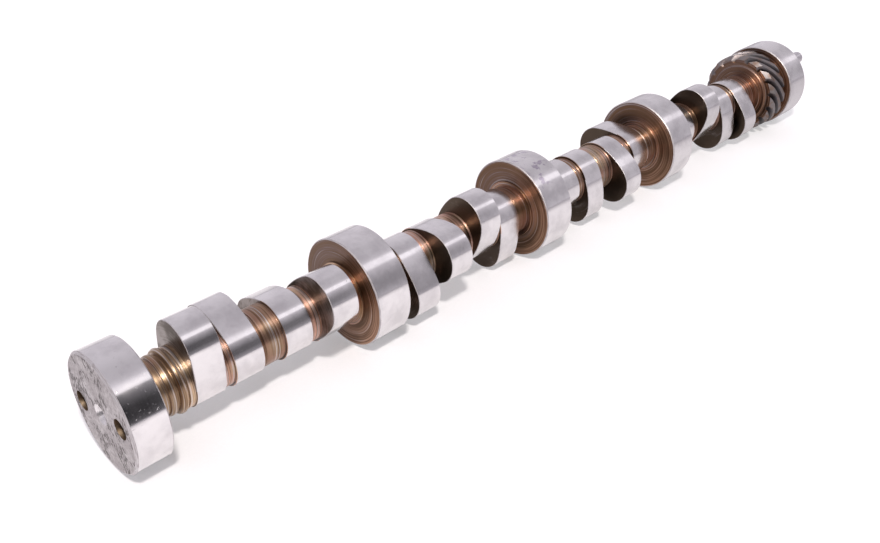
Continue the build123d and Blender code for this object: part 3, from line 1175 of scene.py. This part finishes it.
# How much of a dark screen stands in front of it, at the rear end and further forward.
REAR_SCREEN = ((0, 0), (33, 0), (36, 0.93), (60, 1), (88, 1), (94, 0), (120, 0))
FORWARD_SCREEN = (
    (0, 0), (34, 0), (44, 0.45), (54, 0.78), (62, 1), (75, 1), (86, 0.7), (94, 0.33), (102, 0.06),
    (106, 0), (120, 0),
)
# What changes along the shaft, by the x of a direction: the strip light, the share of the second
# screen and the light left on the screens.
STRIP_REACH = ((0, 0.2), (0.28, 0.22), (0.36, 0.95), (0.55, 1), (0.7, 0.8), (1, 0.6))
FORWARD_SHARE = ((0, 0), (0.28, 0), (0.34, 1), (1, 1))
SCREEN_LEVEL = (
    (-1, 0.3), (0, 0.05), (0.28, 0.0), (0.34, 0.2), (0.44, 0.2), (0.5, 0.42), (0.53, 0.58),
    (0.62, 0.56), (0.68, 0.85), (0.78, 0.76), (0.86, 0.68), (1, 0.7),
)
GLOW_FADE = (300 * MM, 620 * MM)  # along the shaft, where the floor's mirrored glow falls off
GLOW_EDGE = (-500 * MM, -150 * MM)  # and in front of the shaft, where it begins
FLOOR_SIZE, FLOOR_MIDDLE = 8.0, 0.25
FRAME_WIDTH = 36.0  # of the camera, in its own millimetres
CLIP_START, CLIP_END = 0.005, 50.0
WHITE = (1.0, 1.0, 1.0)


def studio_world(studio):
    """Soft studio round the shaft, with a strip light and a dark screen, and white behind it."""
    world = bpy.data.worlds.new("Studio")
    world.use_nodes = True
    nodes = Nodes(world.node_tree)
    nodes.tree.nodes.clear()
    direction = nodes.add("ShaderNodeTexCoord").outputs["Generated"]
    x, y, z = nodes.add("ShaderNodeSeparateXYZ", Vector=direction).outputs
    tilt = nodes.times(nodes.math("ARCTAN2", nodes.times(y, -1.0), z), 180 / pi)

    rear_screen, forward_screen = nodes.ramp(tilt, REAR_SCREEN), nodes.ramp(tilt, FORWARD_SCREEN)
    screen = nodes.mix(nodes.ramp(x, FORWARD_SHARE), rear_screen, forward_screen, "FLOAT")
    soft, dimmed = nodes.ramp(tilt, SOFT_LIGHT), nodes.ramp(x, SCREEN_LEVEL)
    sky = nodes.mix(screen, soft, dimmed, "FLOAT")
    strip = nodes.times(nodes.ramp(tilt, STRIP_LIGHT), nodes.ramp(x, STRIP_REACH))
    both = nodes.vector("ADD", nodes.vector("SCALE", studio.sky, Scale=sky).outputs[0])
    nodes.feed(both.inputs[1], nodes.vector("SCALE", studio.strip, Scale=strip).outputs[0])

    around_shaft = nodes.add("ShaderNodeBackground", Color=both.outputs[0])
    behind = nodes.add("ShaderNodeBackground", Color=WHITE)
    mixed = nodes.add("ShaderNodeMixShader")
    seen = nodes.add("ShaderNodeLightPath").outputs["Is Camera Ray"]
    for socket, value in zip(mixed.inputs, (seen, around_shaft.outputs[0], behind.outputs[0])):
        nodes.feed(socket, value)
    nodes.add("ShaderNodeOutputWorld", Surface=mixed.outputs[0])
    return world


def floor_paper(studio):
    """Pale paper that glows white round its shadows, more where the key light is far away."""
    paint = Paint("Floor Paper")
    shade = [0.97 * channel for channel in studio.floor_colour]
    tooth = paint.spread(paint.clouds(1200), 0.0, 1.0)
    base = paint.mix(tooth, studio.floor_colour, shade)
    paint.shader.inputs["Specular IOR Level"].default_value = 0.0
    away = paint.vector("DISTANCE", paint.place)
    away.inputs[1].default_value = (*studio.key_place[:2], cad_box[0].z)
    white = paint.ranged(away.outputs["Value"], *studio.glow_reach, *studio.floor_glow)
    rays = paint.add("ShaderNodeLightPath").outputs
    mirrored = paint.between(paint.x, *GLOW_FADE, *studio.glow_in_metal)
    mirrored = paint.times(mirrored, paint.between(paint.y, *GLOW_EDGE))
    glow = paint.times_plus(rays["Is Glossy Ray"], mirrored, paint.times(rays["Is Camera Ray"], white))
    paint.feed(paint.shader.inputs["Emission Color"], WHITE)
    paint.feed(paint.shader.inputs["Emission Strength"], glow)
    return paint.finish(base, 0.9, metallic=0.0)


def hang_key(studio):
    """The key light, in its place."""
    key = bpy.data.lights.new("key", "POINT")
    key.energy, key.color = studio.key_power, studio.key_colour
    key.shadow_soft_size = studio.key_radius
    lamp = bpy.data.objects.new("key", key)
    lamp.location = studio.key_place
    return lamp


def set_camera(studio):
    """The camera, in its place."""
    lens = bpy.data.cameras.new("camera")
    lens.sensor_width, lens.lens = FRAME_WIDTH, studio.camera_lens
    lens.shift_x, lens.shift_y = studio.camera_shift
    lens.clip_start, lens.clip_end = CLIP_START, CLIP_END
    camera = bpy.data.objects.new("camera", lens)
    camera.location = studio.camera_place
    camera.rotation_euler = Vector(studio.camera_aim).to_track_quat("-Z", "Y").to_euler()
    return camera


class CAMSHAFT_OT_set_stage(bpy.types.Operator):
    """Lay the floor and set the lights and the camera"""

    bl_idname = "camshaft.set_stage"
    bl_label = "Set Stage"

    def execute(self, context):
        studio, scene = context.scene.camshaft_studio, context.scene
        bpy.ops.object.select_all(action="DESELECT")
        place = (FLOOR_MIDDLE, 0, cad_box[0].z)
        bpy.ops.mesh.primitive_plane_add(size=FLOOR_SIZE, location=place)
        floor = context.object
        floor.name = "floor"
        bpy.ops.object.transform_apply(location=True, rotation=False, scale=False)
        floor.data.materials.append(floor_paper(studio))
        scene.world = studio_world(studio)
        lamp, camera = hang_key(studio), set_camera(studio)
        for each in (lamp, camera):
            scene.collection.objects.link(each)
        scene.camera = camera
        scene.view_settings.view_transform = "Standard"
        return {"FINISHED"}


class CAMSHAFT_PT_workshop(bpy.types.Panel):
    """Operators and sizes of the camshaft"""

    bl_idname = "CAMSHAFT_PT_workshop"
    bl_label = "Camshaft"
    bl_space_type = "VIEW_3D"
    bl_region_type = "UI"
    bl_category = "Camshaft"

    def draw(self, context):
        for operator in OPERATORS:
            self.layout.operator(operator.bl_idname)
        for name, group in SETTINGS.items():
            box = self.layout.box()
            box.label(text=group.__doc__)
            for key in group.__annotations__:
                box.prop(getattr(context.scene, name), key)


OPERATORS = (
    CAMSHAFT_OT_turn_shaft,
    CAMSHAFT_OT_grind_lobes,
    CAMSHAFT_OT_cut_gear,
    CAMSHAFT_OT_finish_shaft,
    CAMSHAFT_OT_finish_pin,
    CAMSHAFT_OT_set_stage,
)
CLASSES = (*SETTINGS.values(), *OPERATORS, CAMSHAFT_PT_workshop)


def register():
    """Registers every class and hangs the settings on the scene."""
    for each in CLASSES:
        bpy.utils.register_class(each)
    for name, group in SETTINGS.items():
        setattr(bpy.types.Scene, name, PointerProperty(type=group))


def unregister():
    """Takes all of it away again."""
    for name in SETTINGS:
        delattr(bpy.types.Scene, name)
    for each in reversed(CLASSES):
        bpy.utils.unregister_class(each)


def main():
    """Makes the whole object and its stage."""
    register()
    bpy.ops.camshaft.turn_shaft()
    bpy.ops.camshaft.grind_lobes()
    bpy.ops.camshaft.cut_gear()
    bpy.ops.camshaft.finish_shaft()
    bpy.ops.camshaft.finish_pin()
    bpy.ops.camshaft.set_stage()


if __name__ == "__main__":
    main()
